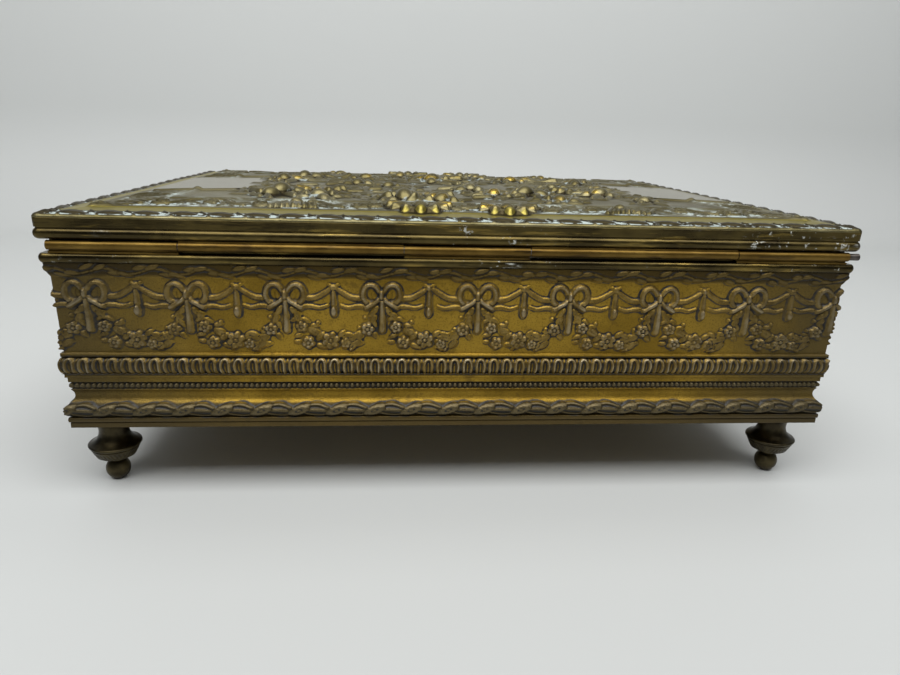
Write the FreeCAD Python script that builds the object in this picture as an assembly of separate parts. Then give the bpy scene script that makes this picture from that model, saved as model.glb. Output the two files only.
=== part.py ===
import FreeCAD, Part
import math
import os

# Trinket box of cast and pressed brass: four turned feet, a mitred case of mouldings and frieze panels,
# a hinged lid with a pressed top, and a wooden carcass with a padded lining.
# Millimetres. +Z is up, the hinge is on the +Y side, and the origin is on the floor under the centre.

V = FreeCAD.Vector

# ---- driving dimensions ----
LID_X = 229.0            # outline of the lid, the widest part of the box
LID_Y = 178.0
CORNER_R = 2.0           # radius of the lid's outline at its corners
WALL_INNER = 4.6         # inset of the metal's inner face from the lid's outline
MITRE = 45.0             # each strip turns this far round a corner

# heights of the joints between the metal parts, floor at 0
Z_BASE = 21.6            # bottom edge of the case, on top of the feet
Z_WALL = 36.8            # base moulding meets wall panel
Z_MOUTH = 69.6           # wall panel meets mouth moulding
Z_SHELF = 72.2           # top of the mouth bead, that the hinge is soldered on
Z_LIP = 75.8             # top of the lip that the lid closes on
Z_LID = 75.9             # underside of the lid's rim
Z_RIM_TOP = 81.6         # lid rim meets lid panel
Z_LID_FACE = 82.5        # flat margin of the lid panel
Z_FRAME_LINE = 84.8      # inner frame line of the lid panel
Z_CROWN = 88.0           # raised middle of the lid panel

# turned feet
FOOT_X = 105.0
FOOT_Y = 75.5
FOOT_COLLAR_R = 5.9
FOOT_WAIST_R = 4.25
FOOT_DISC_R = 7.6
FOOT_CONE_TOP_R = 7.1    # milled cone under the disc
FOOT_CONE_LOW_R = 5.6
FOOT_NECK_R = 2.2
BALL_R = 3.55
FOOT_FLAT_R = 1.2        # the small flat that each ball stands on
FOOT_FLARE = (5.3, 13.6)  # point on the curve from the disc up to the waist: radius, height
FOOT_BELL = (4.6, 18.2)   # point on the curve from the waist up to the collar
Z_CONE_LOW = 8.0
Z_CONE_TOP = 11.0
Z_DISC_LOW = 11.4
Z_DISC_TOP = 12.3
Z_WAIST = 16.0
Z_COLLAR = 19.9

# foot fastening
STUD_R = 1.5
STUD_BOTTOM = 12.2
STUD_TOP = 26.0
THREAD_CLEARANCE = 0.05
PLATE_T = 1.0
PLATE_HOLE_R = 1.6
WASHER_R = 3.6
WASHER_T = 0.6
NUT_FLATS = 5.5
NUT_H = 2.4

# wooden carcass and lining
BOARD_T = 3.0
BOARD_TOP = 75.6
LINING_T = 1.2
LINING_TOP = 75.2
FLOOR_PAD_T = 5.0
PAD_GAP = 0.2
LID_BOARD_BOTTOM = 78.6
LID_PAD_BOTTOM = 76.2
LID_PAD_INSET = 5.4

# hinge
HINGE_Y = 87.7
HINGE_Z = 74.4
BARREL_R = 1.3
PIN_R = 1.0
PIN_CLEARANCE = 0.04
PIN_START = -114.3
PIN_END = 110.6
HINGE_END = 111.1        # outer ends of the outer knuckles
KNUCKLE_OUTER = 77.6     # joint between outer body knuckle and lid knuckle
KNUCKLE_INNER = 17.6     # joint between lid knuckle and middle body knuckle
KNUCKLE_GAP = 0.15       # half of the gap between two knuckles
WEB_T = 0.8
FLANGE_T = 0.5
BODY_FLANGE = (3.2, 1.2) # insets between which a body flange lies on the mouth bead
LID_FLANGE = (3.0, 0.8)  # the same for a lid flange, let into the underside of the rim
FLANGE_PROUD = 0.1       # how far a lid flange stands below the rim
SHEET_T = 0.9            # thickness of the pressed lid panel

# lid panel: inset of each line of the pressed shape
PANEL_EDGE = 0.4
PANEL_MARGIN = 4.6
PANEL_FRAME = 28.5
PANEL_CROWN = 48.0
PANEL_ROUND = 0.6        # radius of the panel's upper edge

HALF_X = LID_X / 2
HALF_Y = LID_Y / 2
FLOOR_BOARD_TOP = STUD_TOP + BOARD_T
SIDES = {"back": 0, "left": 90, "front": 180, "right": 270}


def save(name, shape):
    if isinstance(shape, list):
        shape = Part.makeCompound(shape)
    if not shape.isValid():
        raise ValueError(name + " is not a valid shape")
    shape.exportStep("parts/" + name + ".step")
    print("%-24s solids %2d  volume %10.1f mm3" % (name, len(shape.Solids), shape.Volume))


def outline(start, steps):
    """Closed wire from (inset, z) points: a step of 2 numbers is a line, of 4 an arc through a point."""
    edges = []
    here = start
    for step in steps:
        end = step[-2:]
        a = V(0, -here[0], here[1])
        b = V(0, -end[0], end[1])
        if len(step) == 2:
            edges.append(Part.makeLine(a, b))
        else:
            edges.append(Part.Arc(a, V(0, -step[0], step[1]), b).toShape())
        here = end
    edges.append(Part.makeLine(V(0, -here[0], here[1]), V(0, -start[0], start[1])))
    return Part.Wire(edges)


def corner(face):
    """The part of the profile further out than the corner radius, turned round the corner to the mitre."""
    outer = Part.makeBox(1, CORNER_R, Z_CROWN, V(-0.5, -CORNER_R, 0))
    turns = [f.revolve(V(0, -CORNER_R, 0), V(0, 0, 1), -MITRE) for f in face.common(outer).Faces]
    return turns


def strip(profile, side):
    """One side of a frame, from mitre to mitre, its outer edges rounded at the corners."""
    across = side in ("left", "right")
    half_length = HALF_Y if across else HALF_X
    distance = HALF_X if across else HALF_Y
    straight = half_length - CORNER_R
    face = Part.Face(profile)
    solid = face.copy()
    solid.translate(V(straight, 0, 0))
    solid = solid.extrude(V(-2 * straight, 0, 0))
    deep = CORNER_R + 2 * WALL_INNER
    beyond = Part.makePolygon([V(straight, -CORNER_R, 0), V(straight - deep, -CORNER_R - deep, 0),
                               V(straight, -CORNER_R - deep, 0), V(straight, -CORNER_R, 0)])
    beyond = Part.Face(beyond).extrude(V(0, 0, Z_CROWN))
    solid = solid.cut([beyond, beyond.mirror(V(0, 0, 0), V(1, 0, 0))])
    ends = corner(face)
    for end in ends:
        end.translate(V(straight, 0, 0))
    ends += [end.mirror(V(0, 0, 0), V(1, 0, 0)) for end in ends]
    solid = solid.fuse(ends).removeSplitter().Solids[0]
    solid.translate(V(0, distance, 0))
    solid.rotate(V(0, 0, 0), V(0, 0, 1), SIDES[side])
    return solid


def base_profile():
    """Two fillets, torus, hollow, row of beads and top fillet."""
    return outline((WALL_INNER, Z_BASE), [
        (2.4, Z_BASE), (2.4, 23.1), (2.05, 23.1), (2.05, 24.75), (2.6, 24.75),
        (1.2, 26.9, 2.6, 29.0),
        (3.8, 31.2, 3.4, 33.0),
        (2.75, 34.1, 3.4, 35.2),
        (3.0, 35.2), (3.0, Z_WALL), (WALL_INNER, Z_WALL)])


def wall_profile():
    """Fillet, bulging leaf band, fillet, plain frieze and the swelling crown under the mouth bead."""
    return outline((WALL_INNER, Z_WALL), [
        (2.5, Z_WALL), (2.5, 38.05), (2.9, 38.05),
        (1.6, 40.2, 2.9, 43.0),
        (2.2, 43.0), (2.2, 44.0), (2.9, 44.0),
        (2.4, 65.7),
        (1.5, 67.6, 1.15, Z_MOUTH),
        (WALL_INNER, Z_MOUTH)])


def mouth_profile():
    """Round bead with the lip standing behind it."""
    return outline((WALL_INNER, Z_MOUTH), [
        (1.2, Z_MOUTH), (0.6, 70.9, 1.2, Z_SHELF), (3.2, Z_SHELF), (3.2, Z_LIP), (WALL_INNER, Z_LIP)])


def rim_profile():
    """Large lower bead, narrow groove and upright fascia of the lid."""
    return outline((WALL_INNER, Z_LID), [
        (1.2, Z_LID), (0.0, 77.4, 0.8, 78.8), (0.8, 79.0), (PANEL_EDGE, 79.2), (PANEL_EDGE, Z_RIM_TOP),
        (WALL_INNER, Z_RIM_TOP)])


def foot():
    """Turned foot with a blind hole for its stud, standing at the origin."""
    centre = math.sqrt(BALL_R ** 2 - FOOT_FLAT_R ** 2)
    neck_z = centre + math.sqrt(BALL_R ** 2 - FOOT_NECK_R ** 2)
    hole_r = STUD_R + THREAD_CLEARANCE
    hole_z = STUD_BOTTOM - 0.2
    p = [V(0, 0, 0), V(FOOT_FLAT_R, 0, 0), V(FOOT_NECK_R, 0, neck_z), V(FOOT_NECK_R, 0, Z_CONE_LOW)]
    cone = [V(FOOT_CONE_LOW_R, 0, Z_CONE_LOW), V(FOOT_CONE_TOP_R, 0, Z_CONE_TOP),
            V(FOOT_CONE_TOP_R, 0, Z_DISC_LOW), V(FOOT_DISC_R, 0, Z_DISC_LOW), V(FOOT_DISC_R, 0, Z_DISC_TOP)]
    waist = V(FOOT_WAIST_R, 0, Z_WAIST)
    collar = V(FOOT_COLLAR_R, 0, Z_COLLAR)
    top = [V(FOOT_COLLAR_R, 0, Z_BASE), V(hole_r, 0, Z_BASE), V(hole_r, 0, hole_z), V(0, 0, hole_z), p[0]]
    edges = [Part.makeLine(p[0], p[1]),
             Part.Arc(p[1], V(BALL_R, 0, centre), p[2]).toShape(),
             Part.makeLine(p[2], p[3]),
             Part.makeLine(p[3], cone[0])]
    edges += [Part.makeLine(a, b) for a, b in zip(cone, cone[1:])]
    edges.append(Part.Arc(cone[-1], V(FOOT_FLARE[0], 0, FOOT_FLARE[1]), waist).toShape())
    edges.append(Part.Arc(waist, V(FOOT_BELL[0], 0, FOOT_BELL[1]), collar).toShape())
    edges.append(Part.makeLine(collar, top[0]))
    edges += [Part.makeLine(a, b) for a, b in zip(top, top[1:])]
    return Part.Face(Part.Wire(edges)).revolve(V(0, 0, 0), V(0, 0, 1), 360)


def at_feet(shape):
    """A copy of the shape over each of the four feet."""
    copies = []
    for sx in (-1, 1):
        for sy in (-1, 1):
            copy = shape.copy()
            copy.translate(V(sx * FOOT_X, sy * FOOT_Y, 0))
            copies.append(copy)
    return copies


def foot_parts():
    """Four feet with their studs, washers and nuts."""
    for sx, side in ((-1, "left"), (1, "right")):
        for sy, end in ((-1, "front"), (1, "back")):
            shape = foot()
            shape.translate(V(sx * FOOT_X, sy * FOOT_Y, 0))
            save("foot_%s_%s" % (end, side), shape)
    stud = Part.makeCylinder(STUD_R, STUD_TOP - STUD_BOTTOM, V(0, 0, STUD_BOTTOM))
    save("foot_studs", at_feet(stud))
    washer_z = Z_BASE + PLATE_T
    washer = Part.makeCylinder(WASHER_R, WASHER_T, V(0, 0, washer_z))
    washer = washer.cut(Part.makeCylinder(PLATE_HOLE_R, WASHER_T, V(0, 0, washer_z)))
    save("foot_washers", at_feet(washer))
    nut_z = washer_z + WASHER_T
    corner = NUT_FLATS / math.sqrt(3)
    points = [V(corner * math.cos(math.radians(60 * i)), corner * math.sin(math.radians(60 * i)), nut_z)
              for i in range(7)]
    nut = Part.Face(Part.makePolygon(points)).extrude(V(0, 0, NUT_H))
    nut = nut.cut(Part.makeCylinder(STUD_R + THREAD_CLEARANCE, NUT_H, V(0, 0, nut_z)))
    save("foot_nuts", at_feet(nut))


def slab(inset, z_low, z_high):
    """Flat plate inside the outline."""
    x = HALF_X - inset
    y = HALF_Y - inset
    return Part.makeBox(2 * x, 2 * y, z_high - z_low, V(-x, -y, z_low))


def base_plate():
    plate = slab(WALL_INNER, Z_BASE, Z_BASE + PLATE_T)
    hole = Part.makeCylinder(PLATE_HOLE_R, PLATE_T, V(0, 0, Z_BASE))
    return plate.cut(Part.makeCompound(at_feet(hole)))


def upright(side, inset, thickness, z_low, z_high):
    """Board along one wall: front and back run the full width, left and right fit between them."""
    x = HALF_X - inset
    y = HALF_Y - inset
    height = z_high - z_low
    if side in ("left", "right"):
        board = Part.makeBox(thickness, 2 * (y - thickness), height, V(x - thickness, -y + thickness, z_low))
        return board if side == "right" else board.mirror(V(0, 0, 0), V(1, 0, 0))
    board = Part.makeBox(2 * x, thickness, height, V(-x, y - thickness, z_low))
    return board if side == "back" else board.mirror(V(0, 0, 0), V(0, 1, 0))


def carcass_parts():
    """Wooden boards inside the metal, and the lining on them."""
    save("board_floor", slab(WALL_INNER, STUD_TOP, FLOOR_BOARD_TOP))
    for side in SIDES:
        board = upright(side, WALL_INNER, BOARD_T, FLOOR_BOARD_TOP, BOARD_TOP)
        save("board_" + side, board)
        lining = upright(side, WALL_INNER + BOARD_T, LINING_T, FLOOR_BOARD_TOP, LINING_TOP)
        save("lining_" + side, lining)
    pad_inset = WALL_INNER + BOARD_T + LINING_T + PAD_GAP
    save("lining_floor", slab(pad_inset, FLOOR_BOARD_TOP, FLOOR_BOARD_TOP + FLOOR_PAD_T))


def barrel(x_low, x_high):
    """Hollow knuckle between two places along the hinge line."""
    length = x_high - x_low
    start = V(x_low, HINGE_Y, HINGE_Z)
    outer = Part.makeCylinder(BARREL_R, length, start, V(1, 0, 0))
    bore = Part.makeCylinder(PIN_R + PIN_CLEARANCE, length, start, V(1, 0, 0))
    return outer, bore


def knuckle(x_low, x_high, on_lid):
    """Knuckle with the web and flange that it is soldered by, above it on the lid, below on the body."""
    length = x_high - x_low
    outer, bore = barrel(x_low, x_high)
    if on_lid:
        web_low, web_high = HINGE_Z, Z_LID
        deep, shallow = LID_FLANGE
        flange_low, flange_high = Z_LID - FLANGE_T + FLANGE_PROUD, Z_LID
    else:
        web_low, web_high = Z_SHELF, HINGE_Z
        deep, shallow = BODY_FLANGE
        flange_low, flange_high = Z_SHELF, Z_SHELF + FLANGE_T
    web = Part.makeBox(length, WEB_T, web_high - web_low, V(x_low, HINGE_Y - BARREL_R, web_low))
    flange_t = flange_high - flange_low
    flange = Part.makeBox(length, deep - shallow, flange_t, V(x_low, HALF_Y - deep, flange_low))
    return outer.fuse([web, flange]).removeSplitter().cut(bore).Solids[0]


def hinge_parts():
    g = KNUCKLE_GAP
    body = [(-HINGE_END, -KNUCKLE_OUTER - g), (-KNUCKLE_INNER + g, KNUCKLE_INNER - g),
            (KNUCKLE_OUTER + g, HINGE_END)]
    lid = [(-KNUCKLE_OUTER + g, -KNUCKLE_INNER - g), (KNUCKLE_INNER + g, KNUCKLE_OUTER - g)]
    save("hinge_knuckles_body", [knuckle(a, b, False) for a, b in body])
    save("hinge_knuckles_lid", [knuckle(a, b, True) for a, b in lid])
    pin = Part.makeCylinder(PIN_R, PIN_END - PIN_START, V(PIN_START, HINGE_Y, HINGE_Z), V(1, 0, 0))
    save("hinge_pin", pin)


def frustum(inset_low, z_low, inset_high, z_high):
    """Rectangular frustum between two levels, each a given inset inside the lid's outline."""
    wires = []
    for inset, z in ((inset_low, z_low), (inset_high, z_high)):
        x = HALF_X - inset
        y = HALF_Y - inset
        corners = [V(x, y, z), V(-x, y, z), V(-x, -y, z), V(x, -y, z), V(x, y, z)]
        wires.append(Part.makePolygon(corners))
    return Part.makeLoft(wires, True, True)


def pressed_shape(drop):
    """Solid under the lid's top surface, moved down by the given amount."""
    radius = CORNER_R - PANEL_EDGE
    top = Z_LID_FACE - drop
    edge = slab(PANEL_EDGE, Z_LID - drop, top)
    edge = edge.makeFillet(radius, [e for e in edge.Edges if abs(e.tangentAt(e.FirstParameter).z) > 0.9])
    edge = edge.makeFillet(PANEL_ROUND, [e for e in edge.Edges if min(v.Z for v in e.Vertexes) > top - 0.01])
    slope = frustum(PANEL_MARGIN, top, PANEL_FRAME, Z_FRAME_LINE - drop)
    crown = frustum(PANEL_FRAME, Z_FRAME_LINE - drop, PANEL_CROWN, Z_CROWN - drop)
    return edge.fuse([slope, crown]).removeSplitter()


def lid_panel():
    """Pressed sheet: the top surface less the same surface one thickness lower."""
    sheet = pressed_shape(0).cut(pressed_shape(SHEET_T))
    keep = Part.makeBox(LID_X, LID_Y, Z_CROWN, V(-HALF_X, -HALF_Y, Z_RIM_TOP))
    return sheet.common(keep).Solids[0]


def main():
    os.makedirs("parts", exist_ok=True)
    foot_parts()
    save("base_plate", base_plate())
    for side in SIDES:
        save("base_strip_" + side, strip(base_profile(), side))
        save("wall_" + side, strip(wall_profile(), side))
        save("mouth_strip_" + side, strip(mouth_profile(), side))
        save("lid_rim_" + side, strip(rim_profile(), side))
    carcass_parts()
    hinge_parts()
    save("lid_panel", lid_panel())
    save("lid_board", slab(WALL_INNER, LID_BOARD_BOTTOM, Z_RIM_TOP))
    save("lid_lining", slab(LID_PAD_INSET, LID_PAD_BOTTOM, LID_BOARD_BOTTOM))


main()
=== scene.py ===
import math

import bpy
import numpy as np
from mathutils import Matrix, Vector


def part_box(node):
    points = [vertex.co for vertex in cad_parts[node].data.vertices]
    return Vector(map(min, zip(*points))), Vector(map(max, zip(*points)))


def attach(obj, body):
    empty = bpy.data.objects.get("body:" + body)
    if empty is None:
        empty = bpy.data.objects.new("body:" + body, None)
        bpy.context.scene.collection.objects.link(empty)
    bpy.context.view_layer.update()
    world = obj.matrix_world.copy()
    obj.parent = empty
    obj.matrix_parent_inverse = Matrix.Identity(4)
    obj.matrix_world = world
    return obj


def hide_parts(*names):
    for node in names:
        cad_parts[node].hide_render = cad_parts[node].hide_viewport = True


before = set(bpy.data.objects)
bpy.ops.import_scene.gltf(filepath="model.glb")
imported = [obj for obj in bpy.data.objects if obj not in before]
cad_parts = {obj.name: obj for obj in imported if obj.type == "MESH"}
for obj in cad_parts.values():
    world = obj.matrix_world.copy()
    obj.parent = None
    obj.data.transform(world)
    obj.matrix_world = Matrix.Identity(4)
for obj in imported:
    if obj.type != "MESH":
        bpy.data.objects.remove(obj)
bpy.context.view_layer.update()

rng = np.random.default_rng(7)

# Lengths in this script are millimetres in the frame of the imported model; MM turns them into metres.
MM = 0.001


def node_box(name):
    low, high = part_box(name)
    return np.array(low) / MM, np.array(high) / MM


# ---- sizes read from the frame ----
HALF_X = node_box("lid_rim_right")[1][0]
HALF_Y = node_box("lid_rim_back")[1][1]
Z_BASE = node_box("base_strip_back")[0][2]
Z_WALL = node_box("wall_back")[0][2]
Z_MOUTH = node_box("wall_back")[1][2]
Z_LIP = node_box("mouth_strip_back")[1][2]
Z_LID = node_box("lid_rim_back")[0][2]
Z_RIM_TOP = node_box("lid_rim_back")[1][2]

# ---- sizes of the mouldings: insets are measured inwards from the lid's outline ----
CORNER_R = 2.0
CORNER_MIN = 0.12
WALL_INNER = 4.6
Z_FRIEZE = 44.0
Z_CORNICE = 65.7
Z_LEAF_LOW, Z_LEAF_HIGH = 38.05, 43.0
Z_TORUS = 26.9
Z_BEADS = 34.1
SIDES = {"back": 0, "left": 90, "front": 180, "right": 270}

# ---- the sides: cell of the height maps, fade at their ends, spacing of the vertices, depth of the dents ----
SIDE_CELL = 0.11
END_FADE = 0.6
SIDE_PITCH = 0.3
RIM_PITCH = 0.7
DENT_DEPTH = 0.05

# ---- spacing of the ornament along the sides ----
BOW_PITCH = 26.9
BOW_PHASE = 3.3
LEAF_PITCH = 3.85
BEAD_PITCH = 1.53
RIBBON_PITCH = 10.9
ROPE_PITCH = 9.5


# =============================================================== curves and height maps

def smooth_curve(points, per_span=7):
    """Points along a Catmull-Rom curve through the given ones."""
    p = np.array(points, float)
    p = np.vstack([2 * p[0] - p[1], p, 2 * p[-1] - p[-2]])
    t = np.linspace(0, 1, per_span, endpoint=False)[:, None]
    spans = []
    for a, b, c, d in zip(p, p[1:], p[2:], p[3:]):
        spans.append(0.5 * (2 * b + (c - a) * t + (2 * a - 5 * b + 4 * c - d) * t ** 2
                            + (3 * b - a - 3 * c + d) * t ** 3))
    return np.vstack(spans + [p[-2][None]])


def box_blur(a, radius, axis):
    """Moving average of 2 * radius + 1 cells along one axis, edges repeated."""
    pad = [(0, 0), (0, 0)]
    pad[axis] = (radius + 1, radius)
    total = np.cumsum(np.pad(a, pad, mode="edge"), axis=axis)
    n = a.shape[axis]
    high = np.take(total, range(2 * radius + 1, 2 * radius + 1 + n), axis=axis)
    low = np.take(total, range(0, n), axis=axis)
    return (high - low) / (2 * radius + 1)


def blur(a, radius):
    for _ in range(2):
        a = box_blur(box_blur(a, radius, 0), radius, 1)
    return a


def soft(x):
    """Smooth step from 0 to 1."""
    x = np.clip(x, 0, 1)
    return x * x * (3 - 2 * x)


def cloud(shape, cell, seed):
    """Smooth random field between about -1 and 1, with lumps of the given number of cells."""
    r = np.random.default_rng(seed)
    ny = int(shape[0] / cell) + 3
    nx = int(shape[1] / cell) + 3
    coarse = r.uniform(-1, 1, (ny, nx))
    y = np.arange(shape[0]) / cell
    x = np.arange(shape[1]) / cell
    i = y.astype(int)
    j = x.astype(int)
    fy = soft(y - i)[:, None]
    fx = soft(x - j)[None, :]
    top = coarse[i][:, j] * (1 - fx) + coarse[i][:, j + 1] * fx
    low = coarse[i + 1][:, j] * (1 - fx) + coarse[i + 1][:, j + 1] * fx
    return top * (1 - fy) + low * fy


class Relief:
    """Height map over a rectangle, in millimetres, on which ornament is raised shape by shape."""

    def __init__(self, low, high, step):
        self.low = np.array(low, float)
        self.step = step
        n = np.ceil((np.array(high) - self.low) / step).astype(int) + 1
        self.x = low[0] + step * np.arange(n[0])
        self.y = low[1] + step * np.arange(n[1])
        self.h = np.zeros((n[1], n[0]))
        self.groove = 0.16
        self.cover = 0.75

    def window(self, x_low, x_high, y_low, y_high):
        """The cells inside a box, with their coordinates."""
        limits = []
        for low, high, origin, n in ((x_low, x_high, self.low[0], len(self.x)),
                                     (y_low, y_high, self.low[1], len(self.y))):
            start = int(np.clip(math.floor((low - origin) / self.step), 0, n))
            stop = int(np.clip(math.ceil((high - origin) / self.step) + 1, 0, n))
            limits.append(slice(start, stop))
        x, y = np.meshgrid(self.x[limits[0]], self.y[limits[1]])
        return (limits[1], limits[0]), x, y

    def raise_to(self, cells, shape):
        """Lays a shape over what is there, with a narrow groove round its edge."""
        there = self.h[cells]
        if there.size == 0:
            return
        inside = shape > 0.02
        reach = max(1, round(self.groove / self.step))
        halo = (box_blur(box_blur(inside.astype(float), reach, 0), reach, 1) > 0.01) & ~inside
        there = np.where(halo, 0.3 * there, there)
        self.h[cells] = np.where(inside, np.maximum(shape, self.cover * there), there)

    def local(self, x, y, angle, reach):
        """Cells near a point with coordinates along and across the given direction (degrees)."""
        cells, gx, gy = self.window(x - reach, x + reach, y - reach, y + reach)
        c, s = math.cos(math.radians(angle)), math.sin(math.radians(angle))
        along = (gx - x) * c + (gy - y) * s
        across = -(gx - x) * s + (gy - y) * c
        return cells, along, across

    def dome(self, x, y, rx, ry, height, angle=0.0, power=0.6):
        cells, a, b = self.local(x, y, angle, max(rx, ry) * 1.05)
        r2 = np.clip((a / rx) ** 2 + (b / ry) ** 2, 0, 1)
        self.raise_to(cells, height * (1 - r2) ** power)

    def leaf(self, x, y, angle, length, width, height, veins=4):
        """Pointed leaf growing from a point, with a sunk midrib and raised side veins."""
        cells, a, b = self.local(x, y, angle, length)
        t = np.clip(a / length, 0, 1)
        half = 0.5 * width * np.sin(math.pi * t ** 0.8) ** 0.75 + 1e-6
        ratio = np.clip(np.abs(b) / half, 0, 1)
        inside = (a > 0) & (a < length)
        body = height * (1 - ratio ** 2) ** 0.45
        vein = 0.5 + 0.5 * np.cos(2 * math.pi * (t * (veins + 1) - ratio * 0.9))
        body *= 0.74 + 0.26 * vein
        body *= 1 - 0.4 * np.exp(-(b / (0.09 * width)) ** 2)
        self.raise_to(cells, np.where(inside, body, 0))

    def rose(self, x, y, r, height, petals=5, turn=0.0):
        """Round flower: an outer ring of cupped petals, an inner ring and a button."""
        cells, a, b = self.local(x, y, 0, r * 1.15)
        rho = np.hypot(a, b) / r
        phi = np.arctan2(b, a) + turn
        lobes = np.abs(np.cos(0.5 * petals * phi)) ** 0.6
        edge = 0.72 + 0.26 * lobes
        outer = soft((edge - rho) / 0.12) * (0.5 + 0.42 * lobes) * (0.72 + 0.28 * soft(rho / 0.7))
        ring = 0.3 * np.exp(-((rho - 0.32) / 0.07) ** 2)
        button = 0.95 * soft((0.3 - rho) / 0.14)
        shape = np.maximum(outer - ring, button)
        self.raise_to(cells, height * np.clip(shape, 0, 1))

    def open_flower(self, x, y, r, height, petals=6):
        """Flower of separate cupped petals with hollow middles."""
        for k in range(petals):
            phi = 2 * math.pi * k / petals + 0.3
            px, py = x + 0.62 * r * math.cos(phi), y + 0.62 * r * math.sin(phi)
            cells, a, b = self.local(px, py, math.degrees(phi), 0.5 * r)
            rho = np.hypot(a / 0.42, b / 0.36) / r
            cup = soft((1 - rho) / 0.25) * (0.55 + 0.45 * soft(rho / 0.8))
            self.raise_to(cells, height * cup)
        self.dome(x, y, 0.28 * r, 0.28 * r, height)

    def band(self, points, half, height, rib=0.0, rib_pitch=0.62, lean=0.6):
        """Ribbon along a curve; half is its half width at start and end, rib the depth of its ribs."""
        p = np.array(points, float)
        widest = max(half)
        low = p.min(0) - widest
        high = p.max(0) + widest
        cells, gx, gy = self.window(low[0], high[0], low[1], high[1])
        best = np.full(gx.shape, 1e9)
        where = np.zeros(gx.shape)
        side = np.zeros(gx.shape)
        lengths = np.hypot(*(p[1:] - p[:-1]).T)
        reached = np.concatenate([[0], np.cumsum(lengths)])
        for (ax, ay), (bx, by), length, start in zip(p, p[1:], lengths, reached):
            ux, uy = (bx - ax) / length, (by - ay) / length
            t = np.clip((gx - ax) * ux + (gy - ay) * uy, 0, length)
            dx, dy = gx - ax - t * ux, gy - ay - t * uy
            d = np.hypot(dx, dy)
            nearer = d < best
            best = np.where(nearer, d, best)
            where = np.where(nearer, start + t, where)
            side = np.where(nearer, dx * -uy + dy * ux, side)
        w = half[0] + (half[1] - half[0]) * where / reached[-1]
        ratio = np.clip(best / w, 0, 1)
        body = height * (1 - ratio ** 3) ** 0.5
        if rib > 0:
            body = body * (1 - rib * (0.5 + 0.5 * np.cos(2 * math.pi * (where + lean * side) / rib_pitch)))
        self.raise_to(cells, body)

    def curl(self, points, half, height, **options):
        """Band along the smooth curve through the points."""
        self.band(smooth_curve(points), half, height, **options)

    def shell(self, x, y, angle, r, height, ribs=7, spread=80):
        """Scallop shell opening from its hinge point towards the given direction."""
        cells, a, b = self.local(x, y, angle, r * 1.1)
        rho = np.hypot(a, b) / r
        phi = np.degrees(np.arctan2(b, a))
        wave = np.cos(math.pi * ribs * phi / spread)
        edge = 0.93 + 0.06 * wave - 0.12 * (phi / spread) ** 2
        inside = soft((edge - rho) / 0.1) * soft((spread - np.abs(phi)) / 9)
        body = (0.35 + 0.65 * np.sin(np.clip(rho, 0, 1) * 2.3)) * (0.78 + 0.22 * wave * soft(rho * 1.6))
        self.raise_to(cells, height * inside * body)

    def sample(self, x, y):
        return bilinear(self.h, (x - self.low[0]) / self.step, (y - self.low[1]) / self.step)


def bilinear(field, x, y):
    x = np.clip(x, 0, field.shape[1] - 1.001)
    y = np.clip(y, 0, field.shape[0] - 1.001)
    i = y.astype(int)
    j = x.astype(int)
    fy, fx = y - i, x - j
    top = field[i, j] * (1 - fx) + field[i, j + 1] * fx
    low = field[i + 1, j] * (1 - fx) + field[i + 1, j + 1] * fx
    return top * (1 - fy) + low * fy


# =============================================================== mesh helpers

def new_mesh(name, verts, faces, attributes=None):
    """Object from a vertex array in millimetres and a list of face arrays (each n by corners)."""
    mesh = bpy.data.meshes.new(name)
    mesh.vertices.add(len(verts))
    mesh.vertices.foreach_set("co", (np.asarray(verts) * MM).ravel())
    faces = [np.atleast_2d(np.asarray(f, int)) for f in faces if len(f)]
    corners = np.concatenate([f.ravel() for f in faces])
    sizes = np.concatenate([np.full(len(f), f.shape[1]) for f in faces])
    starts = np.concatenate([[0], np.cumsum(sizes)[:-1]])
    mesh.loops.add(len(corners))
    mesh.loops.foreach_set("vertex_index", corners)
    mesh.polygons.add(len(sizes))
    mesh.polygons.foreach_set("loop_start", starts)
    mesh.polygons.foreach_set("use_smooth", np.full(len(sizes), True))
    mesh.update(calc_edges=True)
    for key, values in (attributes or {}).items():
        layer = mesh.attributes.new(key, "FLOAT", "POINT")
        layer.data.foreach_set("value", np.asarray(values, np.float32).ravel())
    piece = bpy.data.objects.new(name, mesh)
    bpy.context.scene.collection.objects.link(piece)
    return piece


def grid_faces(rows, cols, wrap_rows=False, flip=False):
    """Quads of a rows by cols vertex grid stored row by row."""
    i = np.arange(rows if wrap_rows else rows - 1)
    j = np.arange(cols - 1)
    i, j = np.meshgrid(i, j, indexing="ij")
    i, j = i.ravel(), j.ravel()
    up = (i + 1) % rows
    quad = np.stack([i * cols + j, i * cols + j + 1, up * cols + j + 1, up * cols + j], 1)
    return quad[:, ::-1] if flip else quad


def grid_border(rows, cols):
    """Indices of the outer vertices of a rows by cols grid, in turn round it."""
    return np.concatenate([np.arange(cols), np.arange(1, rows) * cols + cols - 1,
                           (rows - 1) * cols + np.arange(cols - 2, -1, -1), np.arange(rows - 2, 0, -1) * cols])


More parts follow.
